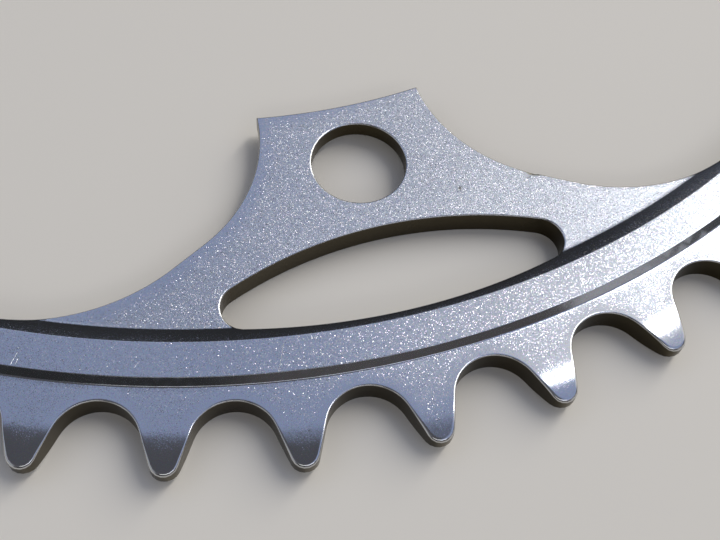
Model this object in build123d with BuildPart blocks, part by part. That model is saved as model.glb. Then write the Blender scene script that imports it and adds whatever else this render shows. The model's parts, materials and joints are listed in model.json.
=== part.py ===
"""Bicycle chainring: a toothed aluminium ring with a raised rim and five slotted mounting tabs.

The ring lies flat, its axis on +Z and its back on Z = 0, with one tab on the -Y axis. Sizes are in millimetres and
angles in degrees. A point of the plan is given as (across, out): beside a radius of the ring, and along it.
"""
import os
from math import asin, atan2, cos, degrees, pi, radians, sin, sqrt, tan

from build123d import *

# Chain and tooth form
tooth_count = 50
chain_pitch = 12.7
seat_radius = 4.15
flank_angle = 18.0
tip_height = 2.75
tip_half_angle = 55.0
tooth_thickness = 3.0
tooth_timing = -0.5

# Relief on both faces of the teeth, in two flats: a long lean and a steeper one at the tip
relief_length = 3.7
relief_lean = 5.9
tip_flat_length = 1.85
tip_flat_lean = 14.8

# Raised rim, measured inwards from the pitch circle: a bevelled step, a flat face and a slope down to the tabs
step_drop = 5.7
step_width = 0.68
rim_face_width = 3.6
rim_height = 0.75
rim_wall = 5.35
slope_width = 1.81
slope_fillet = 0.9

# Tabs and their bolt holes
tab_count = 5
tab_thickness = 3.0
bolt_circle_diameter = 144.0
bolt_hole_diameter = 10.1
tab_end_margin = 7.64
tab_end_width = 18.3
tab_side_lean = 87.2
tab_side_blend = 9.56
tab_root_width = 82.6
tab_root_blend = 11.16

# Turned seat on the back of the tabs, where the crank's spider bolts on
spider_seat_depth = 0.95
spider_seat_margin = 6.5

# Slot between each bolt hole and the rim. Its length is measured to the points where its two arcs would meet,
# and its ends are rounded by no more than a share of its height
slot_web = 3.09
slot_rim_wall = 5.22
slot_length = 44.4
slot_end_drop = 3.9
slot_end_round = 2.5
slot_end_share = 0.3

# Stock that the plan trims away past the tooth tips and the tab ends
trim = 1.0

# Worked out from the sizes above
pitch_radius = chain_pitch / (2 * sin(pi / tooth_count))
tip_radius = pitch_radius + tip_height
relief_start = tip_radius - relief_length
tip_flat_start = tip_radius - tip_flat_length
stock_radius = tip_radius + trim
step_foot_radius = pitch_radius - step_drop
rim_outer_radius = step_foot_radius - step_width
rim_edge_radius = rim_outer_radius - rim_face_width
rim_inner_radius = step_foot_radius - rim_wall
slope_foot_radius = rim_edge_radius - slope_width
rim_top = tooth_thickness + rim_height
bolt_radius = bolt_circle_diameter / 2
tab_end_radius = bolt_radius - tab_end_margin
stock_inner_radius = tab_end_radius - trim
spider_seat_radius = bolt_radius + spider_seat_margin
slot_inner_radius = bolt_radius + bolt_hole_diameter / 2 + slot_web
slot_outer_radius = step_foot_radius - slot_rim_wall
slot_end_radius = slot_outer_radius - slot_end_drop
slot_round = min(slot_end_round, slot_end_share * (slot_outer_radius - slot_inner_radius))
first_tab = -90.0
tab_step = 360.0 / tab_count
tooth_step = 360.0 / tooth_count


def moved(point, distance, angle):
    """A plan point shifted by a distance, at an angle from the across direction."""
    turn = radians(angle)
    return (point[0] + distance * cos(turn), point[1] + distance * sin(turn))


def placed(radius_angle, point, side=1):
    """A point given beside one radius of the ring, in the ring's own XY; side -1 mirrors it in that radius."""
    across, out = side * point[0], point[1]
    turn = radians(radius_angle)
    return (out * cos(turn) - across * sin(turn), out * sin(turn) + across * cos(turn))


def tooth_side():
    """One side of a tooth: where its straight flank leaves the roller seat, and where it meets the tip's arc."""
    half_step = radians(tooth_step / 2)
    seat_centre = (pitch_radius * sin(half_step), pitch_radius * cos(half_step))
    seat_end = moved(seat_centre, -seat_radius, flank_angle)
    lean = radians(flank_angle)
    half_tip = radians(tip_half_angle)
    flank_offset = seat_end[0] * cos(lean) + seat_end[1] * sin(lean)
    tip_round = (flank_offset - tip_radius * sin(lean)) / (sin(lean + half_tip) - sin(lean))
    tip_start = moved((0, tip_radius - tip_round), tip_round, 90 - tip_half_angle)
    return seat_end, tip_start


def tab_side():
    """One side of a tab from its end to the rim: points of an arc, a straight flank and a second arc."""
    half_end = tab_end_width / 2
    half_root = tab_root_width / 2
    corner = (half_end, sqrt(tab_end_radius**2 - half_end**2))
    root = (half_root, sqrt(rim_inner_radius**2 - half_root**2))
    root_lean = -degrees(asin(half_root / rim_inner_radius))
    side_knee = moved(corner, tab_side_blend, tab_side_lean)
    root_knee = moved(root, -tab_root_blend, root_lean)
    flank_lean = degrees(atan2(root_knee[1] - side_knee[1], root_knee[0] - side_knee[0]))
    flank_start = moved(side_knee, tab_side_blend, flank_lean)
    flank_end = moved(root_knee, -tab_root_blend, flank_lean)
    side_radius = tab_side_blend / tan(radians(tab_side_lean - flank_lean) / 2)
    root_radius = tab_root_blend / tan(radians(flank_lean - root_lean) / 2)
    side_centre = moved(corner, side_radius, tab_side_lean - 90)
    root_centre = moved(root, root_radius, root_lean - 90)
    side_middle = moved(side_centre, side_radius, 90 + (tab_side_lean + flank_lean) / 2)
    root_middle = moved(root_centre, root_radius, 90 + (flank_lean + root_lean) / 2)
    return corner, side_middle, flank_start, flank_end, root_middle, root


# Toothed outline of the plan
with BuildSketch() as teeth:
    with BuildLine():
        seat_end, tip_start = tooth_side()
        for tooth in range(tooth_count):
            angle = first_tab + tooth_timing + tooth * tooth_step
            next_angle = angle + tooth_step
            for side in (-1, 1):
                Line(placed(angle, seat_end, side), placed(angle, tip_start, side))
            ThreePointArc(
                placed(angle, tip_start, -1), placed(angle, (0, tip_radius)), placed(angle, tip_start)
            )
            ThreePointArc(
                placed(angle, seat_end),
                placed(angle + tooth_step / 2, (0, pitch_radius - seat_radius)),
                placed(next_angle, seat_end, -1),
            )
    make_face()

# Opening inside the rim, with the tabs standing into it
with BuildSketch() as opening:
    with BuildLine():
        corner, side_middle, flank_start, flank_end, root_middle, root = tab_side()
        for tab in range(tab_count):
            angle = first_tab + tab * tab_step
            next_angle = angle + tab_step
            ThreePointArc(
                placed(angle, corner, -1), placed(angle, (0, tab_end_radius)), placed(angle, corner)
            )
            for side in (-1, 1):
                ThreePointArc(*(placed(angle, point, side) for point in (corner, side_middle, flank_start)))
                Line(placed(angle, flank_start, side), placed(angle, flank_end, side))
                ThreePointArc(*(placed(angle, point, side) for point in (flank_end, root_middle, root)))
            ThreePointArc(
                placed(angle, root),
                placed(angle + tab_step / 2, (0, rim_inner_radius)),
                placed(next_angle, root, -1),
            )
    make_face()

# Lens-shaped slot, on the +X radius
with BuildSketch() as slot:
    with BuildLine():
        slot_end = (slot_length / 2, slot_end_radius)
        for crown in (slot_inner_radius, slot_outer_radius):
            ThreePointArc(placed(0, slot_end, -1), placed(0, (0, crown)), placed(0, slot_end))
    make_face()
    fillet(slot.vertices(), slot_round)

# Relief of one tooth, front and back, on the +X radius
with BuildPart() as relief:
    with BuildSketch(Plane.XZ):
        tip_flat_depth = (relief_length - tip_flat_length) * tan(radians(relief_lean))
        stock_depth = tip_flat_depth + (tip_flat_length + trim) * tan(radians(tip_flat_lean))
        for face, inwards in ((0, 1), (tooth_thickness, -1)):
            with BuildLine():
                Polyline(
                    (relief_start, face),
                    (tip_flat_start, face + inwards * tip_flat_depth),
                    (stock_radius, face + inwards * stock_depth),
                    (stock_radius, face),
                    close=True,
                )
            make_face()
    extrude(amount=chain_pitch / 4, both=True)

with BuildPart() as chainring:
    # Section through the ring, turned about its axis
    with BuildSketch(Plane.XZ) as section:
        with BuildLine():
            Polyline(
                (stock_radius, 0),
                (stock_radius, tooth_thickness),
                (step_foot_radius, tooth_thickness),
                (rim_outer_radius, rim_top),
                (rim_edge_radius, rim_top),
                (slope_foot_radius, tab_thickness),
                (stock_inner_radius, tab_thickness),
                (stock_inner_radius, spider_seat_depth),
                (spider_seat_radius, spider_seat_depth),
                (spider_seat_radius, 0),
                close=True,
            )
        make_face()
        slope_foot = section.vertices().sort_by_distance((slope_foot_radius, tab_thickness))[0]
        fillet(slope_foot, slope_fillet)
    revolve(axis=Axis.Z)

    # Plan of the ring, cut straight through it
    with BuildSketch():
        add(teeth.sketch)
        add(opening.sketch, mode=Mode.SUBTRACT)
        with PolarLocations(bolt_radius, tab_count, first_tab):
            Circle(bolt_hole_diameter / 2, mode=Mode.SUBTRACT)
        with PolarLocations(0, tab_count, first_tab):
            add(slot.sketch, mode=Mode.SUBTRACT)
    extrude(amount=rim_top, mode=Mode.INTERSECT)

    # Relief on every tooth
    with PolarLocations(0, tooth_count, first_tab + tooth_timing):
        add(relief.part, mode=Mode.SUBTRACT)

chainring.part.label = "chainring"
os.makedirs("parts", exist_ok=True)
export_step(chainring.part, "parts/chainring.step")
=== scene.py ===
"""A bicycle chainring in satin anodised aluminium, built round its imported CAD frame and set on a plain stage.

The ring is made of one tooth and one tab's stretch of rim, each drawn beside the +X axis and turned into its
places by a node tree. A point of the plan is a complex number: its real part runs out along the radius, its
imaginary part across it. Lengths are in metres.
"""
import json
from math import asin, atan2, ceil, cos, pi, radians, sin, sqrt, tan

import bpy
import numpy as np
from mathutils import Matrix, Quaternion, Vector
from mathutils.geometry import delaunay_2d_cdt


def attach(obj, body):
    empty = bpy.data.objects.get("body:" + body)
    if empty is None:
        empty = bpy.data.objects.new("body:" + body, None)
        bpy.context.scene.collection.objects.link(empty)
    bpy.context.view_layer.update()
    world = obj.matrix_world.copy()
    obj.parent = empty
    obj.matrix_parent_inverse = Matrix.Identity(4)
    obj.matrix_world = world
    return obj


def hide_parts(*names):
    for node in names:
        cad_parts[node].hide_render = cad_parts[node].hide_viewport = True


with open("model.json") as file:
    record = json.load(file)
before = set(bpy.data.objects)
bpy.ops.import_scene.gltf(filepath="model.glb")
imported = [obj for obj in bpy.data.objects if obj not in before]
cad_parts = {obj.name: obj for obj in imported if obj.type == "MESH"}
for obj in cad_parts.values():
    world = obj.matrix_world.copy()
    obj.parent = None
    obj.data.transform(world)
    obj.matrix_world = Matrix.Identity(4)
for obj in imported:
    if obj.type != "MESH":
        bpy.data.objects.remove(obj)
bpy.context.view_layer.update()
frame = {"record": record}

bl_info = {
    "name": "Chainring",
    "version": (1, 0, 0),
    "blender": (4, 5, 0),
    "location": "View3D > Sidebar > Chainring",
    "description": "Builds a bicycle chainring in anodised aluminium and a plain stage for it",
    "category": "Add Mesh",
}

NODE = "chainring"
BODY = "root"
MM = 0.001
BOLTS = frame["record"]["mounts"][0]["dims"]

# Kinds of node that the trees use most, and the numbers of a colour mix's sockets, whose names it shares
MATHS = "ShaderNodeMath"
VECTORS = "ShaderNodeVectorMath"
RANGE = "ShaderNodeMapRange"
MIX = "ShaderNodeMix"
MIX_FIRST = 6
MIX_SECOND = 7
MIX_RESULT = 2

# How finely the mesh is drawn
TOOTH_SPACING = 0.55 * MM
TAB_SPACING = 0.5 * MM
RIM_STRIDE = 4
SPOT_SPACING = 0.6 * MM
INNER_SPACING = 3 * SPOT_SPACING
TOOTH_SPOTS = 0.5 * MM
TOOTH_DIVISIONS = 12
EDGE_STEPS = 4
EDGE_GUARD = 0.1 * MM
ROUND_STEPS = 4
ROUND_SPARE = 1.001
MARGIN_SHARES = (0.25, 0.45, 0.7, 1.0)
MARGIN_STRIDE = 2
SEAT_DRAFT = 0.1 * MM
SPOT_GAP = 0.3 * MM
NEAR = 0.12 * MM
NEAR_SHARE = 0.05
ON_CIRCLE = 0.002 * MM
WELD = 0.0005 * MM

# Where the ring's first tab points
FIRST_TAB = -pi / 2

# Camera, floor and light
CAMERA_PLACE = Vector((-23.71, -132.77, 95.82)) * MM
CAMERA_AIM = Vector((-3.57, -84.64, 3.0)) * MM
CAMERA_ROLL = radians(7.31)
CAMERA_LENS = 53.02
CAMERA_NEAR = 0.01
FLOOR_WIDTH = 1.6
FLOOR_GAP = -0.05 * MM
FLOOR_ROUGHNESS = 0.9
LAMP_DISTANCE = 1.0

# Lamps: name, turn about the ring's axis, rise and spin in degrees, size, colour and brightness
LAMPS = (
    ("key", 27.3, 43.7, -69.2, (1.01, 0.165), "#FFFDFA", 8.1),
    ("back", -95, 38, 0, (0.9, 0.2), "#FFFCF6", 1.1),
    ("side", -40, 15, 0, (0.5, 0.25), "#F4F2F4", 0.5),
)

# Room: its level all round, and its soft round patches: the bright top, the dark place behind the camera and
# the bright sides, each by turn, rise, where it fades out, how softly, and light
ROOM_LOW = 0.037
ROOM_TOP = (0, 90, 0.37, 0.29, (0.384, 0.447, 0.645))
ROOM_DARK = (-143.5, 61.7, 0.735, 0.12, (0.125, 0.124, 0.135))
ROOM_SIDES = (
    (26, 33, 0.78, 0.08, (0.62, 0.55, 0.38)),
    (-72, 14, 0.82, 0.1, (0.08, 0.07, 0.066)),
    (180, 12, 0.7, 0.2, (0.34, 0.35, 0.37)),
    (6, 10, 0.85, 0.12, (0.34, 0.34, 0.36)),
    (92, 40, 0.965, 0.03, (0.2, 0.2, 0.2)),
)

# Finish of the metal: how strongly each surface was blasted, and what that leaves
TAB_GRAIN = 1.0
RIM_GRAIN = 0.52
TIP_GRAIN = 0.4
TURNED_EDGE = 0.15 * MM
STEP_EDGE = 0.04 * MM
FAR_MARGIN = 0.35
EDGE_GRAIN = 0.35
FACET_SIZE = 0.06 * MM
FACET_LEAN = 0.98
FACET_SPREAD = 2.8
FACET_TINT = 0.2
CHANCE_MIDDLE = (0.5, 0.5, 0.5)
TAB_ROUGHNESS = 0.34
TURNED_ROUGHNESS = 0.13
ROUGHNESS_POWER = 1.5
WALL_FROM = 0.5
WALL_FULL = 0.2
WALL_ROUGHNESS = 0.15
FRONT_FROM = 0.8
CLOUD_SIZE = 14 * MM
CLOUD_DETAIL = 4
CLOUD_LOW = 0.3
CLOUD_HIGH = 0.7
CLOUD_ROUGHNESS = 0.02
CLOUD_SHADE = 0.03
UNEVEN_SIZE = 0.7 * MM
UNEVEN_SHARE = 0.13
SCRATCH_DEPTH = 0.015 * MM
# How much the broken edges are painted bright: rubbed bare metal and a painted highlight along them
WEAR_AND_HIGHLIGHT_SHARE = 0.6
# How dark the pit's painted shade is
PIT_SHADE_SHARE = 0.8

# Nick of use in the first tab's edge: where it starts along the edge, its inmost point and where it ends
NICK = ((16.57, -77.06), (16.81, -78.28), (18.29, -77.99))
NICK_DEPTH = 0.2 * MM
NICK_REACH = 1.4 * MM
NICK_SPACING = 0.1 * MM

# Pit beside the first tab's bolt hole, given as a scratch is, shown only as painted shade with no dent in the
# mesh
PIT = ((9.44, -77.80), (9.54, -77.68), 0.6)

# Scratches on the rim's face by the first tab, in millimetres: start, end and width
SCRATCHES = (
    ((-27.11, -89.80), (-26.56, -89.32), 0.12),
    ((-38.05, -86.61), (-37.28, -85.55), 0.10),
    ((-37.62, -86.70), (-37.30, -86.20), 0.10),
    ((-14.27, -93.71), (-13.62, -92.29), 0.035),
    ((-13.62, -92.29), (-13.08, -90.92), 0.035),
    ((-8.09, -93.31), (-7.72, -93.40), 0.12),
    ((-30.41, -89.36), (-30.37, -89.36), 0.20),
    ((-22.08, -89.11), (-22.04, -89.11), 0.14),
    ((-23.92, -88.31), (-23.88, -88.31), 0.14),
)


def length(name, millimetres, description):
    """A size of the ring that a user may change, given in millimetres."""
    return bpy.props.FloatProperty(
        name=name, description=description, default=millimetres * MM, unit="LENGTH", precision=5
    )


def angle(name, turn, description):
    """An angle that a user may change, given in degrees."""
    return bpy.props.FloatProperty(name=name, description=description, default=radians(turn), unit="ROTATION")


def linear(code):
    """An sRGB hex colour as linear red, green and blue."""
    parts = [int(code[place:place + 2], 16) / 255 for place in (1, 3, 5)]
    return [part / 12.92 if part <= 0.04045 else ((part + 0.055) / 1.055) ** 2.4 for part in parts]


def colour(name, code, description):
    """A colour that a user may change, given as sRGB hex."""
    return bpy.props.FloatVectorProperty(
        name=name, description=description, default=linear(code), subtype="COLOR", min=0, max=1
    )


class ChainringSizes(bpy.types.PropertyGroup):
    """Sizes of the ring, of which the chain's pitch and the bolt circle lead the rest."""

    tooth_count: bpy.props.IntProperty(name="Teeth", description="Teeth round the ring", default=50, min=20)
    chain_pitch: length("Chain pitch", 12.7, "Distance between two rollers of the chain")
    seat_radius: length("Roller seat", 4.15, "Radius of the valley between two teeth")
    flank_angle: angle("Flank angle", 18, "Lean of a tooth's straight flank")
    tip_height: length("Tip height", 2.75, "Height of a tooth above the pitch circle")
    tooth_thickness: length("Tooth thickness", 3.0, "Thickness of the tooth band")
    tooth_timing: angle("Tooth timing", -0.5, "Turn of the teeth against the tabs")
    relief_length: length("Relief length", 3.7, "How far the relief reaches down from a tooth's tip")
    relief_lean: angle("Relief lean", 5.9, "Lean of the relief's long flat")
    tip_flat_length: length("Tip flat length", 1.85, "How far the steeper flat reaches down from the tip")
    tip_flat_lean: angle("Tip flat lean", 14.8, "Lean of the relief's steeper flat")
    relief_round: length("Relief round", 9.0, "Radius that softens the corners between the relief's flats")
    step_drop: length("Step drop", 5.7, "From the pitch circle in to the foot of the step")
    step_width: length("Step width", 0.68, "Width of the bevelled step up to the rim")
    rim_face_width: length("Rim face", 3.6, "Width of the rim's flat face")
    rim_height: length("Rim height", 0.75, "Height of the rim above the tooth band")
    rim_wall: length("Rim wall", 5.35, "From the foot of the step in to the opening")
    slope_width: length("Slope width", 1.81, "Width of the slope from the rim down to the tabs")
    tab_count: bpy.props.IntProperty(
        name="Tabs", description="Tabs round the ring", default=BOLTS["count"], min=3
    )
    tab_thickness: length("Tab thickness", 3.0, "Thickness of a tab at its slot")
    bolt_circle: length("Bolt circle", BOLTS["pcd_mm"], "Diameter of the circle of bolt holes")
    bolt_hole: length("Bolt hole", 2 * BOLTS["hole_r_mm"], "Diameter of a bolt hole")
    tab_end_margin: length("Tab end margin", 7.64, "From the bolt circle in to a tab's end")
    tab_end_width: length("Tab end width", 18.3, "Width of a tab's end")
    tab_side_lean: angle("Tab side lean", 87.2, "Direction in which a tab's side leaves its corner")
    tab_side_blend: length("Tab side blend", 9.56, "Tangent length of the arc beside a tab's end")
    tab_root_width: length("Tab root width", 82.6, "Width over which a tab meets the rim")
    tab_root_blend: length("Tab root blend", 11.16, "Tangent length of the arc at a tab's root")
    spider_seat_depth: length("Spider seat depth", 0.95, "Depth of the turned seat on the back of the tabs")
    spider_seat_margin: length("Spider seat margin", 6.5, "How far the seat reaches out past the bolt circle")
    slot_web: length("Slot web", 3.09, "Metal between a bolt hole and its slot")
    slot_rim_wall: length("Slot rim wall", 5.22, "From the foot of the step in to a slot")
    slot_length: length("Slot length", 44.4, "Length of a slot to the points where its arcs would meet")
    slot_end_drop: length("Slot end drop", 3.9, "From a slot's outer crown in to its ends")
    slot_end_round: length("Slot end round", 2.5, "Radius of a slot's ends")
    slope_fillet: length("Slope fillet", 0.9, "Hollow at the foot of the slope")
    edge_break: length("Edge break", 0.16, "Radius of the broken edges all round")
    tip_round: length("Tip round", 0.34, "Radius of the broken edges at a tooth's tip")
    rim_edge_round: length("Rim edge round", 0.3, "Radius of the rim's inner edge")
    step_edge_round: length("Step edge round", 0.1, "Radius of the rim's outer edge")
    step_fillet: length("Step fillet", 0.25, "Hollow at the foot of the step")
    tab_margin: length("Tab margin", 2.1, "How far the smooth margin reaches in from a tab's edge")
    tooth_margin: length("Tooth margin", 1.3, "How far the smooth margin reaches in from a tooth's edge")


class ChainringFinish(bpy.types.PropertyGroup):
    """Colours of the finish and the stage."""

    aluminium: colour("Aluminium", "#B4B8C0", "Silver anodised aluminium")
    # Bare metal in the scratches; along the broken edges it is rubbed metal and a painted highlight
    bare_and_highlight: colour("Bare metal", "#E4E4E2", "Bare aluminium in scratches, and rubbed metal with a painted highlight at the edges")
    # Painted shade and painted dark reflection, laid on the cut walls and in the pit
    painted_wall_shade: colour("Painted wall shade", "#453D29", "Dark reflection and shade painted on the cut walls")
    floor: colour("Floor", "#E6E1D6", "Plain pale floor")


class Plan:
    """The ring's leading radii and heights, worked out from its sizes."""

    def __init__(self, sizes):
        self.sizes = sizes
        self.tooth_step = 2 * pi / sizes.tooth_count
        self.tab_step = 2 * pi / sizes.tab_count
        self.pitch_radius = sizes.chain_pitch / (2 * sin(self.tooth_step / 2))
        self.tip_radius = self.pitch_radius + sizes.tip_height
        self.relief_start = self.tip_radius - sizes.relief_length
        self.tip_flat_start = self.tip_radius - sizes.tip_flat_length
        self.step_foot = self.pitch_radius - sizes.step_drop
        self.rim_outer = self.step_foot - sizes.step_width
        self.rim_edge = self.rim_outer - sizes.rim_face_width
        self.slope_foot = self.rim_edge - sizes.slope_width
        self.rim_inner = self.step_foot - sizes.rim_wall
        self.rim_top = sizes.tooth_thickness + sizes.rim_height
        self.bolt_radius = sizes.bolt_circle / 2
        self.tab_end = self.bolt_radius - sizes.tab_end_margin
        self.seat_edge = self.bolt_radius + sizes.spider_seat_margin


def line(start, end, spacing):
    """Points from start up to, and without, end."""
    count = max(1, ceil(abs(end - start) / spacing))
    return start + (end - start) * np.arange(count) / count


def arc(start, middle, end, spacing):
    """Points along the arc through three points, up to, and without, its end."""
    first, second = middle - start, end - start
    turn = (first.conjugate() * second).imag
    centre = start + 1j * (first * abs(second) ** 2 - second * abs(first) ** 2) / (2 * turn)
    sweep = np.angle((middle - centre) / (start - centre)) + np.angle((end - centre) / (middle - centre))
    count = max(2, ceil(abs(sweep * (start - centre)) / spacing))
    return centre + (start - centre) * np.exp(1j * sweep * np.arange(count) / count)


def moved(point, distance, turn):
    """A plan point shifted by a distance, at an angle from the across direction."""
    return point + distance * complex(sin(turn), cos(turn))


def tooth_outline(plan, spacing):
    """The outline of one tooth, from the middle of one valley to the middle of the next."""
    sizes = plan.sizes
    half_step = plan.tooth_step / 2
    lean = sizes.flank_angle
    seat_centre = plan.pitch_radius * np.exp(1j * half_step)
    seat_end = moved(seat_centre, -sizes.seat_radius, lean)
    seat_middle = seat_centre - sizes.seat_radius * np.exp(1j * (pi / 4 - lean / 2 + half_step / 2))
    valley = (plan.pitch_radius - sizes.seat_radius) * np.exp(1j * half_step)
    flank_offset = seat_end.imag * cos(lean) + seat_end.real * sin(lean)
    tip_round = (flank_offset - plan.tip_radius * sin(lean)) / (1 - sin(lean))
    tip_start = moved(plan.tip_radius - tip_round, tip_round, lean)
    chain = [
        arc(valley.conjugate(), seat_middle.conjugate(), seat_end.conjugate(), spacing),
        line(seat_end.conjugate(), tip_start.conjugate(), spacing),
        arc(tip_start.conjugate(), plan.tip_radius + 0j, tip_start, spacing),
        line(tip_start, seat_end, spacing),
        arc(seat_end, seat_middle, valley, spacing),
        [valley],
    ]
    return np.concatenate(chain)


def tab_side(plan):
    """One side of a tab from its end to the rim: points of an arc, a straight flank and a second arc."""
    sizes = plan.sizes
    half_end = sizes.tab_end_width / 2
    half_root = sizes.tab_root_width / 2
    corner = complex(sqrt(plan.tab_end**2 - half_end**2), half_end)
    root = complex(sqrt(plan.rim_inner**2 - half_root**2), half_root)
    side_lean = sizes.tab_side_lean
    root_lean = -asin(half_root / plan.rim_inner)
    side_knee = moved(corner, sizes.tab_side_blend, side_lean)
    root_knee = moved(root, -sizes.tab_root_blend, root_lean)
    flank = root_knee - side_knee
    flank_lean = atan2(flank.real, flank.imag)
    flank_start = moved(side_knee, sizes.tab_side_blend, flank_lean)
    flank_end = moved(root_knee, -sizes.tab_root_blend, flank_lean)
    side_radius = sizes.tab_side_blend / tan((side_lean - flank_lean) / 2)
    root_radius = sizes.tab_root_blend / tan((flank_lean - root_lean) / 2)
    side_centre = moved(corner, side_radius, side_lean - pi / 2)
    root_centre = moved(root, root_radius, root_lean - pi / 2)
    side_middle = moved(side_centre, side_radius, pi / 2 + (side_lean + flank_lean) / 2)
    root_middle = moved(root_centre, root_radius, pi / 2 + (flank_lean + root_lean) / 2)
    return corner, side_middle, flank_start, flank_end, root_middle, root


def opening_outline(plan, spacing):
    """The edge of the opening along one tab's stretch, clockwise, so that the metal lies to its left."""
    corner, side_middle, flank_start, flank_end, root_middle, root = tab_side(plan)
    first = plan.rim_inner * np.exp(1j * (plan.tab_step / 2 + plan.sizes.tooth_timing))
    last = first * np.exp(-1j * plan.tab_step)
    rim_spacing = RIM_STRIDE * spacing
    middles = [plan.rim_inner * (a + b) / abs(a + b) for a, b in ((first, root), (root.conjugate(), last))]
    chain = [
        arc(first, middles[0], root, rim_spacing),
        arc(root, root_middle, flank_end, spacing),
        line(flank_end, flank_start, spacing),
        arc(flank_start, side_middle, corner, spacing),
        arc(corner, plan.tab_end + 0j, corner.conjugate(), spacing),
        arc(corner.conjugate(), side_middle.conjugate(), flank_start.conjugate(), spacing),
        line(flank_start.conjugate(), flank_end.conjugate(), spacing),
        arc(flank_end.conjugate(), root_middle.conjugate(), root.conjugate(), spacing),
        arc(root.conjugate(), middles[1], last, rim_spacing),
        [last],
    ]
    return np.concatenate(chain)


def slot_outline(plan, spacing):
    """The edge of a tab's slot, clockwise: two arcs and two rounded ends that touch both."""
    sizes = plan.sizes
    inner = plan.bolt_radius + sizes.bolt_hole / 2 + sizes.slot_web
    outer = plan.step_foot - sizes.slot_rim_wall
    end = outer - sizes.slot_end_drop
    half = sizes.slot_length / 2
    inner_arc = (half**2 + (end - inner) ** 2) / (2 * (end - inner))
    outer_arc = (half**2 + (outer - end) ** 2) / (2 * (outer - end))
    inner_centre = inner + inner_arc
    outer_centre = outer - outer_arc
    apart = inner_centre - outer_centre
    reach_in = inner_arc - sizes.slot_end_round
    reach_out = outer_arc - sizes.slot_end_round
    along = (apart**2 + reach_out**2 - reach_in**2) / (2 * apart)
    end_centre = complex(outer_centre + along, sqrt(reach_out**2 - along**2))
    to_inner = end_centre + sizes.slot_end_round * (end_centre - inner_centre) / reach_in
    to_outer = end_centre + sizes.slot_end_round * (end_centre - outer_centre) / reach_out
    tip = end_centre + 1j * sizes.slot_end_round
    chain = [
        arc(to_inner.conjugate(), inner + 0j, to_inner, spacing),
        arc(to_inner, tip, to_outer, spacing / 2),
        arc(to_outer, outer + 0j, to_outer.conjugate(), spacing),
        arc(to_outer.conjugate(), tip.conjugate(), to_inner.conjugate(), spacing / 2),
    ]
    return np.concatenate(chain)


def hole_outline(plan, spacing):
    """The edge of a tab's bolt hole, clockwise."""
    radius = plan.sizes.bolt_hole / 2
    count = ceil(2 * pi * radius / spacing)
    return plan.bolt_radius + radius * np.exp(-2j * pi * np.arange(count) / count)


def mitres(points, closed):
    """For each point of an outline, the shift that insets it by one unit to the left, even at a corner."""
    ahead = np.roll(points, -1) - points
    left = 1j * ahead / abs(ahead)
    before = np.roll(left, 1)
    if not closed:
        radial = points[[0, -1]] / abs(points[[0, -1]])
        ends = radial * np.sign((left[[0, -2]] * radial.conj()).real)
        left[-1], before[0] = ends[1], ends[0]
        left[0], before[-1] = ends[0], ends[1]
    return (before + left) / (1 + (before * left.conj()).real)


def with_crossings(points, shifts, inset, radii):
    """An outline and its inset shifts, with a point wherever the inset outline crosses one of the circles."""
    for radius in radii:
        beyond = abs(points + inset * shifts) - radius
        after = np.roll(beyond, -1)
        for place in np.nonzero(beyond * after < 0)[0][::-1]:
            share = beyond[place] / (beyond[place] - after[place])
            following = (place + 1) % len(points)
            crossing = points[place] + share * (points[following] - points[place])
            shift = shifts[place] + share * (shifts[following] - shifts[place])
            if min(share, 1 - share) < NEAR_SHARE:
                nearest = place if share < 0.5 else following
                points[nearest], shifts[nearest] = crossing, shift
            else:
                points = np.insert(points, place + 1, crossing)
                shifts = np.insert(shifts, place + 1, shift)
    return points, shifts


def distance_to(points, outline, closed):
    """How far each point lies from an outline."""
    starts = outline if closed else outline[:-1]
    runs = (np.roll(outline, -1) - outline)[:len(starts)]
    offset = points[:, None] - starts
    share = np.clip((offset * runs.conj()).real / abs(runs) ** 2, 0, 1)
    return abs(offset - share * runs).min(axis=1)


def rounded(corners, radii, steps):
    """The points of a section with its inner corners rounded, each by its own radius."""
    rounds = [[corners[0]]]
    for before, corner, after, radius in zip(corners, corners[1:], corners[2:], radii):
        back, on = (before - corner) / abs(before - corner), (after - corner) / abs(after - corner)
        half_turn = (pi - abs(np.angle(on / back))) / 2
        reach = radius * tan(half_turn)
        middle = (back + on) / abs(back + on) * radius * (1 / cos(half_turn) - 1)
        start, end = corner + reach * back, corner + reach * on
        spacing = 2 * half_turn * radius / steps * ROUND_SPARE
        rounds.append(arc(start, corner + middle, end, spacing))
        rounds.append([end])
    return np.concatenate(rounds + [[corners[-1]]])


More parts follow.
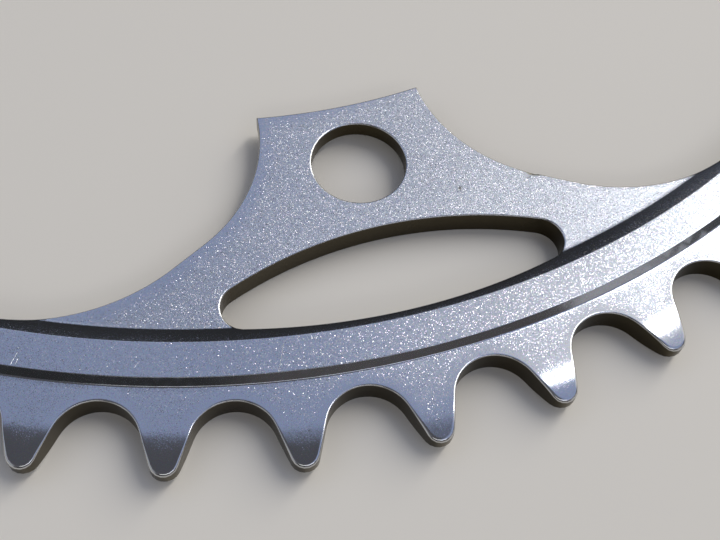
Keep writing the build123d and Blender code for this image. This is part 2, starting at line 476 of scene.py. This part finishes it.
class Shell:
    """Points and faces of one repeated stretch of the ring, collected before they become a mesh."""

    def __init__(self, top, bottom, grain, edge_break):
        self.top = top
        self.bottom = bottom
        self.grain = grain
        self.edge_break = edge_break
        self.plan = []
        self.heights = []
        self.finish = {"grain": [], "wear": []}
        self.faces = []

    def add(self, points, heights, grain, wear=0.0):
        """Adds points and gives their numbers."""
        first = len(self.plan)
        self.plan.extend(points)
        self.heights.extend(heights)
        self.finish["grain"].extend(np.broadcast_to(grain, len(points)))
        self.finish["wear"].extend(np.broadcast_to(wear, len(points)))
        return np.arange(first, len(self.plan))

    def edge(self, points, shifts, closed):
        """The wall along an outline with both its edges broken. Gives the rows where it meets the two faces.

        A row close beside the upper edge keeps the face flat up to there.
        """
        turns = np.linspace(0, pi / 2, EDGE_STEPS + 1)
        broken = self.edge_break(points)
        flat = points + shifts * (broken + EDGE_GUARD)
        rows = [self.add(flat, self.top(flat), self.grain(flat))]
        for face, down, order in ((self.top, -1, turns), (self.bottom, 1, turns[::-1])):
            for turn in order:
                place = points + shifts * broken * (1 - sin(turn))
                height = face(place) + down * broken * (1 - cos(turn))
                grain = self.grain(place) if turn == 0 else 0
                # Along the rounding, this value paints rubbed bare metal and a painted highlight
                rows.append(self.add(place, height, grain, sin(2 * turn)))
        for above, below in zip(rows, rows[1:]):
            if closed:
                above, below = np.append(above, above[0]), np.append(below, below[0])
            self.faces.extend(np.stack((below[:-1], below[1:], above[1:], above[:-1]), axis=1).tolist())
        return rows[0], rows[-1]

    def cover(self, outlines, seams, radii, angles, spots, heights, up):
        """Covers one face inside its outlines and seams, with a row of points on each of the circles."""
        plan = np.array(self.plan)
        edges = np.concatenate([np.stack((row[:-1], row[1:]), axis=1) for row in outlines + seams])
        starts, ends = plan[edges].T
        border = np.unique(edges)
        walls = plan[np.concatenate(outlines)]

        def inside(points):
            low, high = np.minimum(starts.imag, ends.imag), np.maximum(starts.imag, ends.imag)
            level = points.imag[:, None]
            with np.errstate(divide="ignore", invalid="ignore"):
                meets = starts.real + (level - starts.imag) * (ends - starts).real / (ends - starts).imag
            hits = (level >= low) & (level < high) & (meets > points.real[:, None])
            return hits.sum(axis=1) % 2 == 1

        # Rows of points on the circles, held as edges
        used, held = [border], [edges]
        for radius in radii:
            circle = radius * np.exp(1j * angles[1:-1])
            circle = circle[inside(circle)]
            gaps = abs(circle[:, None] - walls).min(axis=1)
            circle = circle[gaps > NEAR]
            added = self.add(circle, heights(circle), self.grain(circle))
            row = np.append(added, border[abs(abs(plan[border]) - radius) < ON_CIRCLE])
            plan = np.array(self.plan)
            row = row[np.argsort(np.angle(plan[row]))]
            runs = np.stack((row[:-1], row[1:]), axis=1)
            held.append(runs[inside(plan[runs].mean(axis=1))])
            used.append(added)

        # Loose points between them
        taken = np.concatenate(used)
        spots = spots[inside(spots)]
        spots = spots[abs(spots[:, None] - plan[taken]).min(axis=1) > SPOT_GAP]
        taken = np.append(taken, self.add(spots, heights(spots), self.grain(spots)))
        plan = np.array(self.plan)

        # Triangles over all of these, without the ones that lie outside or have no area
        number = {index: place for place, index in enumerate(taken)}
        coords = [Vector((point.real, point.imag)) / MM for point in plan[taken]]
        lines = [[number[a], number[b]] for a, b in np.concatenate(held)]
        found = delaunay_2d_cdt(coords, lines, [], 0, WELD / MM)
        sources = found[3]
        if any(len(source) != 1 for source in sources):
            raise RuntimeError("A face of the ring could not be covered: two of its edges cross or touch")
        corners = np.array([[taken[sources[place][0]] for place in face] for face in found[2]])
        corners = corners[inside(plan[corners].mean(axis=1))]
        first, second, third = plan[corners].T
        doubled_area = abs(((second - first).conj() * (third - first)).imag)
        corners = corners[doubled_area > WELD * abs(third - first)]
        self.faces.extend((corners if up else corners[:, ::-1]).tolist())

    def mesh(self, name):
        """The collected points and faces as a mesh with smooth faces."""
        made = bpy.data.meshes.new(name)
        places = [(point.real, point.imag, height) for point, height in zip(self.plan, self.heights)]
        made.from_pydata(places, [], self.faces)
        made.shade_smooth()
        for finish, values in self.finish.items():
            made.attributes.new(finish, "FLOAT", "POINT").data.foreach_set("value", values)
        return made


def tooth_shell(plan, band_seam):
    """One tooth and its share of the tooth band, from the middle of one valley to the middle of the next."""
    sizes = plan.sizes
    outline = tooth_outline(plan, TOOTH_SPACING)
    flat_fall = (sizes.relief_length - sizes.tip_flat_length) * tan(sizes.relief_lean)
    tip_fall = flat_fall + sizes.tip_flat_length * tan(sizes.tip_flat_lean)
    corners = [
        complex(plan.step_foot, 0),
        complex(plan.relief_start, 0),
        complex(plan.tip_flat_start, flat_fall),
        complex(plan.tip_radius, tip_fall),
    ]
    flats = rounded(corners, [sizes.relief_round] * 2, ROUND_STEPS)

    def relief(points):
        return np.interp(points.real, flats.real, flats.imag)

    def top(points):
        return sizes.tooth_thickness - relief(points)

    def grain(points):
        near = np.clip(distance_to(points, outline, False) / sizes.tooth_margin, 0, 1)
        out = np.clip((points.real - plan.step_foot) / (plan.pitch_radius - plan.step_foot), 0, 1)
        return RIM_GRAIN * near * (1 + out * (TIP_GRAIN - 1))

    def edge_break(points):
        reach = (plan.pitch_radius, plan.tip_radius)
        return np.interp(points.real, reach, (sizes.edge_break, sizes.tip_round))

    shell = Shell(top, relief, grain, edge_break)
    rows = shell.edge(outline, mitres(outline, False), False)
    half_step = plan.tooth_step / 2
    angles = np.linspace(-half_step, half_step, TOOTH_DIVISIONS + 1)
    levels = np.arange(band_seam + TOOTH_SPOTS, plan.tip_radius, TOOTH_SPOTS)
    across = np.arange(-sizes.chain_pitch / 2, sizes.chain_pitch / 2, TOOTH_SPOTS)
    spots = (levels[:, None] + 1j * across).ravel()
    for row, heights, up in zip(rows, (top, relief), (True, False)):
        inner = band_seam * np.exp(1j * angles)
        base = shell.add(inner, heights(inner), grain(inner))
        seams = [base]
        for end in (0, -1):
            valley = shell.plan[row[end]]
            points = line(valley, inner[end], SPOT_SPACING)[1:]
            added = shell.add(points, heights(points), grain(points))
            seams.append(np.concatenate(([row[end]], added, [base[end]])))
        shell.cover([row], seams, [], angles, spots, heights, up)
    return shell.mesh("tooth")


def tab_shell(plan):
    """One tab and its stretch of the rim, out to where the tooth band begins. Gives that radius too."""
    sizes = plan.sizes
    band = sizes.tooth_thickness
    corners = [
        complex(plan.tab_end / 2, sizes.tab_thickness),
        complex(plan.slope_foot, sizes.tab_thickness),
        complex(plan.rim_edge, plan.rim_top),
        complex(plan.rim_outer, plan.rim_top),
        complex(plan.step_foot, band),
        complex(plan.pitch_radius, band),
    ]
    radii = [sizes.slope_fillet, sizes.rim_edge_round, sizes.step_edge_round, sizes.step_fillet]
    section = rounded(corners, radii, ROUND_STEPS)
    circles = section.real[1:-1]
    seat_wall = np.array([plan.seat_edge - SEAT_DRAFT, plan.seat_edge])
    spacing = TAB_SPACING
    opening = opening_outline(plan, spacing)

    def top(points):
        return np.interp(abs(points), section.real, section.imag)

    def bottom(points):
        return np.interp(abs(points), seat_wall, (sizes.spider_seat_depth, 0))

    # The turned slope and step are smooth, and the tab loses its grain towards its edge, most on one side
    marks = (
        (plan.slope_foot, TAB_GRAIN),
        (plan.slope_foot + TURNED_EDGE, 0),
        (plan.rim_edge - TURNED_EDGE, 0),
        (plan.rim_edge, RIM_GRAIN),
        (plan.rim_outer - STEP_EDGE, RIM_GRAIN),
        (plan.rim_outer + STEP_EDGE, 0),
        (plan.step_foot - STEP_EDGE, 0),
        (circles[-1], RIM_GRAIN),
    )
    reach, levels = zip(*marks)
    half_end = sizes.tab_end_width / 2

    def grain(points):
        width = sizes.tab_margin * np.interp(points.imag, (-half_end, half_end), (1, FAR_MARGIN))
        near = EDGE_GRAIN + (1 - EDGE_GRAIN) * np.clip(distance_to(points, opening, False) / width, 0, 1)
        share = np.where(abs(points) < plan.slope_foot, near, 1)
        return np.interp(abs(points), reach, levels) * share

    def edge_break(points):
        return np.full(len(points), sizes.edge_break)

    shell = Shell(top, bottom, grain, edge_break)
    band_seam = circles[-1]
    rows = []
    outlines = ((opening, False), (slot_outline(plan, spacing), True), (hole_outline(plan, spacing), True))
    for outline, closed in outlines:
        points, shifts = outline, mitres(outline, closed)
        points, shifts = with_crossings(points, shifts, sizes.edge_break + EDGE_GUARD, circles[:-1])
        points, shifts = with_crossings(points, shifts, sizes.edge_break, seat_wall)
        made = shell.edge(points, shifts, closed)
        rows.append([np.append(row, row[0]) if closed else row for row in made])
    middle = sizes.tooth_timing
    divisions = TOOTH_DIVISIONS * sizes.tooth_count // sizes.tab_count
    angles = np.linspace(middle + plan.tab_step / 2, middle - plan.tab_step / 2, divisions + 1)

    # Points inside the faces: rows that follow the tab's edge, a wide grid within and a fine one at the nick
    steps = sizes.tab_margin * np.array(MARGIN_SHARES)
    shifts = mitres(opening, False)
    rows_in = (opening[::MARGIN_STRIDE] + steps[:, None] * shifts[::MARGIN_STRIDE]).ravel()
    rows_in = rows_in[abs(rows_in) < plan.slope_foot - SPOT_SPACING]
    away = distance_to(rows_in, opening, False)
    rows_in = rows_in[abs(away[:, None] - steps).min(axis=1) < NEAR]
    grid = np.arange(plan.tab_end, plan.slope_foot, INNER_SPACING)
    across = np.arange(-sizes.tab_root_width / 2, sizes.tab_root_width / 2, INNER_SPACING)
    inner = (grid[:, None] + 1j * across).ravel()
    inner = inner[distance_to(inner, opening, False) > sizes.tab_margin]
    spots = np.append(rows_in, inner[abs(inner) < plan.slope_foot - SPOT_SPACING])
    nick = sum(complex(-y, x) for x, y in NICK) / len(NICK) * MM
    steps = np.arange(-NICK_REACH, NICK_REACH, NICK_SPACING)
    close = (nick + steps[:, None] + 1j * steps).ravel()
    spots = np.append(spots, close[distance_to(close, opening, False) > SPOT_GAP])

    # Front and back, each out to the seam where the teeth join on
    faces = ((0, circles[:-1], top, True), (1, seat_wall, bottom, False))
    for face, face_circles, heights, up in faces:
        outer = shell.add(band_seam * np.exp(1j * angles), [band if up else 0] * len(angles), RIM_GRAIN)
        seams = [outer]
        for end in (0, -1):
            start = rows[0][face][end]
            between = face_circles[face_circles > abs(shell.plan[start])]
            points = between * np.exp(1j * angles[end])
            added = shell.add(points, heights(points), grain(points))
            seams.append(np.concatenate(([start], added, [outer[end]])))
        shell.cover([row[face] for row in rows], seams, face_circles, angles, spots, heights, up)
    return shell.mesh("tab_stretch"), band_seam


def node(tree, kind, *inputs, **settings):
    """Adds a node to a tree with its settings, and gives its outputs.

    Each input is a socket's name or number with what goes in there: a link from another output, or a value.
    """
    made = tree.nodes.new(kind)
    for name, value in settings.items():
        setattr(made, name, value)
    for socket, value in inputs:
        if isinstance(value, bpy.types.NodeSocket):
            tree.links.new(value, made.inputs[socket])
        else:
            made.inputs[socket].default_value = value
    return made.outputs


def ring_tree():
    """Node tree that turns copies of a tooth and of a tab's stretch into place and welds them to one ring."""
    tree = bpy.data.node_groups.new("chainring_pattern", "GeometryNodeTree")
    sockets = tree.interface
    sockets.new_socket("Geometry", in_out="INPUT", socket_type="NodeSocketGeometry")
    for name in ("Tooth", "Tab"):
        sockets.new_socket(name, in_out="INPUT", socket_type="NodeSocketObject")
        sockets.new_socket(name + " count", in_out="INPUT", socket_type="NodeSocketInt")
        sockets.new_socket(name + " start", in_out="INPUT", socket_type="NodeSocketFloat")
    sockets.new_socket("Weld distance", in_out="INPUT", socket_type="NodeSocketFloat")
    sockets.new_socket("Finish", in_out="INPUT", socket_type="NodeSocketMaterial")
    sockets.new_socket("Geometry", in_out="OUTPUT", socket_type="NodeSocketGeometry")
    given = node(tree, "NodeGroupInput")
    place = node(tree, "GeometryNodeInputIndex")[0]
    turned = []
    for name in ("Tooth", "Tab"):
        shape = node(tree, "GeometryNodeObjectInfo", ("Object", given[name]))["Geometry"]
        points = node(tree, "GeometryNodePoints", ("Count", given[name + " count"]))[0]
        step = node(tree, MATHS, (0, 2 * pi), (1, given[name + " count"]), operation="DIVIDE")[0]
        inputs = ((0, place), (1, step), (2, given[name + " start"]))
        turn = node(tree, MATHS, *inputs, operation="MULTIPLY_ADD")[0]
        about_axis = node(tree, "ShaderNodeCombineXYZ", ("Z", turn))[0]
        inputs = (("Points", points), ("Instance", shape), ("Rotation", about_axis))
        turned.append(node(tree, "GeometryNodeInstanceOnPoints", *inputs)[0])
    joined = node(tree, "GeometryNodeJoinGeometry", *((0, source) for source in turned))[0]
    whole = node(tree, "GeometryNodeRealizeInstances", (0, joined))[0]
    inputs = (("Geometry", whole), ("Distance", given["Weld distance"]))
    welded = node(tree, "GeometryNodeMergeByDistance", *inputs)[0]
    inputs = (("Geometry", welded), ("Material", given["Finish"]))
    finished = node(tree, "GeometryNodeSetMaterial", *inputs)[0]
    node(tree, "NodeGroupOutput", (0, finished))
    return tree


def set_inputs(modifier, values):
    """Sets a node tree's inputs on its modifier, by the sockets' names."""
    for socket in modifier.node_group.interface.items_tree:
        if socket.in_out == "INPUT" and socket.name in values:
            modifier[socket.identifier] = values[socket.name]


def plain_mesh(obj, name):
    """An object's evaluated shape as a plain mesh."""
    evaluated = obj.evaluated_get(bpy.context.evaluated_depsgraph_get())
    made = bpy.data.meshes.new_from_object(evaluated)
    made.name = name
    return made


def scratch(tree, flat, start, end, width):
    """A mask along one scratch of the front, in millimetres, from 1 in its middle to 0 at its sides."""
    start = Vector(start) * MM
    run = Vector(end) * MM - start
    heading = (*run.normalized(), 0)
    offset = node(tree, VECTORS, (0, flat), (1, (*start, 0)), operation="SUBTRACT")[0]
    along = node(tree, VECTORS, (0, offset), (1, heading), operation="DOT_PRODUCT")["Value"]
    held = node(tree, "ShaderNodeClamp", ("Value", along), ("Max", run.length))[0]
    step = node(tree, VECTORS, (0, heading), ("Scale", held), operation="SCALE")[0]
    away = node(tree, VECTORS, (0, offset), (1, step), operation="DISTANCE")["Value"]
    limits = (("From Max", width * MM / 2), ("To Min", 1), ("To Max", 0))
    return node(tree, RANGE, ("Value", away), *limits)[0]


def press_nick(mesh, mid_height):
    """Presses the nick into the first tab's edge: a flat that falls towards its end, with one steep side."""
    start, inmost, end = (complex(*point) * MM for point in NICK)
    places = np.array([vertex.co for vertex in mesh.vertices])
    plan = places[:, 0] + 1j * places[:, 1]

    def side(points, first, second):
        return ((points - first) * (second - first).conjugate()).imag

    fall = side(plan, start, inmost) / side(end, start, inmost)
    within = side(plan, inmost, end) / side(start, inmost, end)
    pressed = (fall > 0) & (within > 0) & (places[:, 2] > mid_height) & (abs(plan - end) < 2 * NICK_REACH)
    for number in np.nonzero(pressed)[0]:
        mesh.vertices[number].co.z -= NICK_DEPTH * min(fall[number], 1)
        mesh.attributes["grain"].data[number].value = 0


def anodised_aluminium(finish):
    """Aluminium plate, blasted with fine beads and silver anodised.

    Each bead leaves a small facet with a lean of its own. Near the edge of a lamp's reflection some facets
    catch the lamp, so the metal sparkles there, and elsewhere it is an even satin grey. The tabs were blasted
    harder than the rim and the teeth. The slope and the step were turned afterwards and are smooth. The cut
    walls and a pit in the first tab carry painted shade and a painted dark reflection. The broken edges are
    painted brighter, as rubbed bare metal and as a painted highlight.
    """
    material = bpy.data.materials.new("anodised_aluminium_blasted_satin")
    material.use_nodes = True
    tree = material.node_tree
    shader = tree.nodes["Principled BSDF"].inputs
    shader["Metallic"].default_value = 1
    coordinates = node(tree, "ShaderNodeTexCoord")
    place = coordinates["Object"]
    flat = node(tree, VECTORS, (0, place), (1, (1, 1, 0)), operation="MULTIPLY")[0]
    grain = node(tree, "ShaderNodeAttribute", attribute_name="grain")["Fac"]
    # Edge value: rubbed bare metal and a painted highlight along the broken edges
    wear = node(tree, "ShaderNodeAttribute", attribute_name="wear")["Fac"]
    upright = node(tree, "ShaderNodeSeparateXYZ", (0, coordinates["Normal"]))["Z"]
    steep = node(tree, MATHS, (0, upright), operation="ABSOLUTE")[0]
    wall = node(tree, RANGE, ("Value", steep), ("From Min", WALL_FROM), ("From Max", WALL_FULL))[0]
    front = node(tree, RANGE, ("Value", upright), ("From Min", FRONT_FROM))[0]

    # Scratches of use on the rim, and the painted shade of the pit in the tab
    marks = scratch(tree, flat, *SCRATCHES[0])
    for facts in SCRATCHES[1:]:
        marks = node(tree, MATHS, (0, marks), (1, scratch(tree, flat, *facts)), operation="MAXIMUM")[0]
    marks = node(tree, MATHS, (0, marks), (1, front), operation="MULTIPLY")[0]
    # Painted shade: the pit is a dark spot of colour, with no dent in the mesh
    pit_shade = node(tree, MATHS, (0, scratch(tree, flat, *PIT)), (1, front), operation="MULTIPLY")[0]
    pit_shade = node(tree, MATHS, (0, pit_shade), (1, PIT_SHADE_SHARE), operation="MULTIPLY")[0]

    # Facets, drawn coarser than real ones so that they show: about half a pixel in the photograph's frame
    cells = node(tree, "ShaderNodeTexVoronoi", ("Vector", place), ("Scale", 1 / FACET_SIZE))
    chance = node(tree, "ShaderNodeTexWhiteNoise", ("Vector", cells["Position"]), noise_dimensions="3D")
    spread = node(tree, MATHS, (0, chance["Value"]), (1, FACET_SPREAD), operation="POWER")[0]
    spread = node(tree, MATHS, (0, spread), (1, FACET_LEAN), operation="MULTIPLY")[0]
    spread = node(tree, MATHS, (0, spread), (1, grain), operation="MULTIPLY")[0]
    lean = node(tree, VECTORS, (0, cells["Color"]), (1, CHANCE_MIDDLE), operation="SUBTRACT")[0]
    lean = node(tree, VECTORS, (0, lean), ("Scale", spread), operation="SCALE")[0]

    # The plate is a little uneven, and each scratch is a groove
    uneven = node(tree, "ShaderNodeTexNoise", ("Vector", place), ("Scale", 1 / UNEVEN_SIZE))["Fac"]
    height = node(tree, MATHS, (0, uneven), (1, UNEVEN_SHARE), operation="MULTIPLY")[0]
    height = node(tree, MATHS, (0, height), (1, marks), operation="SUBTRACT")[0]
    bump = node(tree, "ShaderNodeBump", ("Height", height), ("Distance", SCRATCH_DEPTH))[0]
    normal = node(tree, VECTORS, (0, bump), (1, lean), operation="ADD")[0]
    normal = node(tree, VECTORS, (0, normal), operation="NORMALIZE")[0]
    tree.links.new(normal, shader["Normal"])

    # Satin where it was blasted, smoother where it was turned, with slow changes over the plate
    inputs = (("Vector", place), ("Scale", 1 / CLOUD_SIZE), ("Detail", CLOUD_DETAIL))
    clouds = node(tree, "ShaderNodeTexNoise", *inputs)["Fac"]
    limits = (("From Min", CLOUD_LOW), ("From Max", CLOUD_HIGH), ("To Min", -1))
    cloud = node(tree, RANGE, ("Value", clouds), *limits)[0]
    blasted = node(tree, MATHS, (0, grain), (1, ROUGHNESS_POWER), operation="POWER")[0]
    limits = (("From Max", TAB_GRAIN), ("To Min", TURNED_ROUGHNESS), ("To Max", TAB_ROUGHNESS))
    rough = node(tree, RANGE, ("Value", blasted), *limits)[0]
    for share, most in ((cloud, CLOUD_ROUGHNESS), (wall, WALL_ROUGHNESS)):
        more = node(tree, MATHS, (0, share), (1, most), operation="MULTIPLY")[0]
        rough = node(tree, MATHS, (0, rough), (1, more), operation="ADD")[0]
    tree.links.new(rough, shader["Roughness"])

    # Colour: silver with a faint tint in each facet, painted shade and dark reflection on the walls and in the
    # pit, rubbed bare metal and a painted highlight at the edges
    tint = node(tree, VECTORS, (0, chance["Color"]), (1, CHANCE_MIDDLE), operation="SUBTRACT")[0]
    tint = node(tree, VECTORS, (0, tint), (1, (FACET_TINT,) * 3), operation="MULTIPLY")[0]
    tint = node(tree, VECTORS, (0, tint), (1, finish.aluminium), operation="MULTIPLY")[0]
    silver = node(tree, VECTORS, (0, tint), (1, finish.aluminium), operation="ADD")[0]
    limits = (("From Min", -1), ("To Min", 1 - CLOUD_SHADE), ("To Max", 1 + CLOUD_SHADE))
    shade = node(tree, RANGE, ("Value", cloud), *limits)[0]
    metal = node(tree, VECTORS, (0, silver), ("Scale", shade), operation="SCALE")[0]
    # Painted shade: the steep walls and the pit are darkened with the painted wall shade colour
    painted_shade = node(tree, MATHS, (0, wall), (1, pit_shade), operation="MAXIMUM")[0]
    # Painted highlight and rubbed bare metal at the edges, bare metal in the scratches
    rubbed_and_highlight = node(tree, MATHS, (0, wear), (1, WEAR_AND_HIGHLIGHT_SHARE), operation="MULTIPLY")[0]
    rubbed_and_highlight = node(tree, MATHS, (0, rubbed_and_highlight), (1, marks), operation="MAXIMUM")[0]
    for share, over in ((painted_shade, finish.painted_wall_shade), (rubbed_and_highlight, finish.bare_and_highlight)):
        inputs = ((0, share), (MIX_FIRST, metal), (MIX_SECOND, (*over, 1)))
        metal = node(tree, MIX, *inputs, data_type="RGBA")[MIX_RESULT]
    tree.links.new(metal, shader["Base Color"])
    return material


class CHAINRING_OT_ring(bpy.types.Operator):
    """Builds the ring from one tooth and one tab's stretch, and gives it its finish"""

    bl_idname = "chainring.ring"
    bl_label = "Build the ring"
    bl_options = {"REGISTER", "UNDO"}

    def execute(self, context):
        scene = context.scene
        sizes = scene.chainring_sizes
        plan = Plan(sizes)
        tab_mesh, band_seam = tab_shell(plan)
        shapes = {"Tooth": tooth_shell(plan, band_seam), "Tab": tab_mesh}
        helpers = {name: bpy.data.objects.new(mesh.name, mesh) for name, mesh in shapes.items()}
        ring = bpy.data.objects.new("chainring_satin", bpy.data.meshes.new("chainring_satin"))
        for obj in (ring, *helpers.values()):
            scene.collection.objects.link(obj)
        finish = anodised_aluminium(scene.chainring_finish)
        pattern = ring.modifiers.new("pattern", "NODES")
        pattern.node_group = ring_tree()
        inputs = {
            **helpers,
            "Tooth count": sizes.tooth_count,
            "Tab count": sizes.tab_count,
            "Tooth start": FIRST_TAB + sizes.tooth_timing,
            "Tab start": FIRST_TAB,
            "Weld distance": WELD,
            "Finish": finish,
        }
        set_inputs(pattern, inputs)
        ring.data = plain_mesh(ring, "chainring_satin")
        ring.modifiers.remove(pattern)
        press_nick(ring.data, sizes.tab_thickness / 2)
        for obj in helpers.values():
            bpy.data.objects.remove(obj)
        # Normals that follow the larger faces keep a flat flat up to its broken edges
        weighted = ring.modifiers.new("face_normals", "WEIGHTED_NORMAL")
        ring.data = plain_mesh(ring, "chainring_satin")
        ring.modifiers.remove(weighted)
        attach(ring, BODY)
        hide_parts(NODE)
        return {"FINISHED"}


def towards(turn, rise):
    """The direction at a turn about the ring's axis and a rise above the floor, both in degrees."""
    turn, rise = radians(turn), radians(rise)
    return Vector((cos(turn) * cos(rise), sin(turn) * cos(rise), sin(rise)))


def lamp(name, turn, rise, spin, size, code, brightness):
    """A softbox that faces the camera's aim, as bright as it is told whatever its size."""
    light = bpy.data.lights.new(name, "AREA")
    light.shape = "RECTANGLE"
    light.size, light.size_y = size
    light.color = linear(code)
    light.energy = brightness * pi * size[0] * size[1]
    made = bpy.data.objects.new(name, light)
    direction = towards(turn, rise)
    made.location = CAMERA_AIM + direction * LAMP_DISTANCE
    made.rotation_mode = "QUATERNION"
    made.rotation_quaternion = direction.to_track_quat("Z", "Y") @ Quaternion((0, 0, 1), radians(spin))
    return made


def room():
    """A soft room, bright overhead and dark behind the camera, which gives the metal its changes of tone."""
    world = bpy.data.worlds.new("soft_room")
    world.use_nodes = True
    tree = world.node_tree
    direction = node(tree, "ShaderNodeTexCoord")["Generated"]

    def patch(turn, rise, fade, softness):
        inputs = ((0, direction), (1, towards(turn, rise)))
        facing = node(tree, VECTORS, *inputs, operation="DOT_PRODUCT")["Value"]
        limits = (("From Min", fade), ("From Max", fade + softness))
        return node(tree, RANGE, ("Value", facing), *limits, interpolation_type="SMOOTHSTEP")[0]

    def brighter(level, place, light):
        more = node(tree, VECTORS, (0, light), ("Scale", patch(*place)), operation="SCALE")[0]
        return node(tree, VECTORS, (0, more), (1, level), operation="ADD")[0]

    *place, light = ROOM_TOP
    level = brighter((ROOM_LOW,) * 3, place, light)
    *place, light = ROOM_DARK
    inputs = ((0, patch(*place)), (MIX_FIRST, level), (MIX_SECOND, (*light, 1)))
    level = node(tree, MIX, *inputs, data_type="RGBA")[MIX_RESULT]
    for *place, light in ROOM_SIDES:
        level = brighter(level, place, light)
    tree.links.new(level, tree.nodes["Background"].inputs["Color"])
    return world


class CHAINRING_OT_stage(bpy.types.Operator):
    """Sets the ring on a plain pale floor under soft light and places the camera"""

    bl_idname = "chainring.stage"
    bl_label = "Set the stage"
    bl_options = {"REGISTER", "UNDO"}

    def execute(self, context):
        scene = context.scene
        finish = scene.chainring_finish
        half = FLOOR_WIDTH / 2
        mesh = bpy.data.meshes.new("floor")
        corners = [(x * half, y * half, FLOOR_GAP) for x, y in ((-1, -1), (1, -1), (1, 1), (-1, 1))]
        mesh.from_pydata(corners, [], [(0, 1, 2, 3)])
        floor = bpy.data.objects.new("floor", mesh)
        scene.collection.objects.link(floor)
        # Matt paint, an even pale ground with no gloss
        paint = bpy.data.materials.new("matt_paint")
        paint.use_nodes = True
        shader = paint.node_tree.nodes["Principled BSDF"].inputs
        shader["Base Color"].default_value = (*finish.floor, 1)
        shader["Roughness"].default_value = FLOOR_ROUGHNESS
        mesh.materials.append(paint)
        for facts in LAMPS:
            scene.collection.objects.link(lamp(*facts))
        scene.world = room()
        data = bpy.data.cameras.new("camera")
        data.lens = CAMERA_LENS
        data.clip_start = CAMERA_NEAR
        camera = bpy.data.objects.new("camera", data)
        camera.location = CAMERA_PLACE
        camera.rotation_mode = "QUATERNION"
        upright = (CAMERA_AIM - CAMERA_PLACE).to_track_quat("-Z", "Y")
        camera.rotation_quaternion = upright @ Quaternion((0, 0, 1), CAMERA_ROLL)
        scene.collection.objects.link(camera)
        scene.camera = camera
        scene.view_settings.view_transform = "Standard"
        return {"FINISHED"}


class CHAINRING_PT_panel(bpy.types.Panel):
    """Lists the chainring's sizes, finish and steps"""

    bl_label = "Chainring"
    bl_space_type = "VIEW_3D"
    bl_region_type = "UI"
    bl_category = "Chainring"

    def draw(self, context):
        for group in (context.scene.chainring_sizes, context.scene.chainring_finish):
            box = self.layout.box()
            for name in group.__annotations__:
                box.prop(group, name)
        for step in (CHAINRING_OT_ring, CHAINRING_OT_stage):
            self.layout.operator(step.bl_idname)


CLASSES = (ChainringSizes, ChainringFinish, CHAINRING_OT_ring, CHAINRING_OT_stage, CHAINRING_PT_panel)


def register():
    for kind in CLASSES:
        bpy.utils.register_class(kind)
    bpy.types.Scene.chainring_sizes = bpy.props.PointerProperty(type=ChainringSizes)
    bpy.types.Scene.chainring_finish = bpy.props.PointerProperty(type=ChainringFinish)


def unregister():
    del bpy.types.Scene.chainring_finish
    del bpy.types.Scene.chainring_sizes
    for kind in reversed(CLASSES):
        bpy.utils.unregister_class(kind)


def main():
    register()
    bpy.ops.chainring.ring()
    bpy.ops.chainring.stage()


if __name__ == "__main__":
    main()
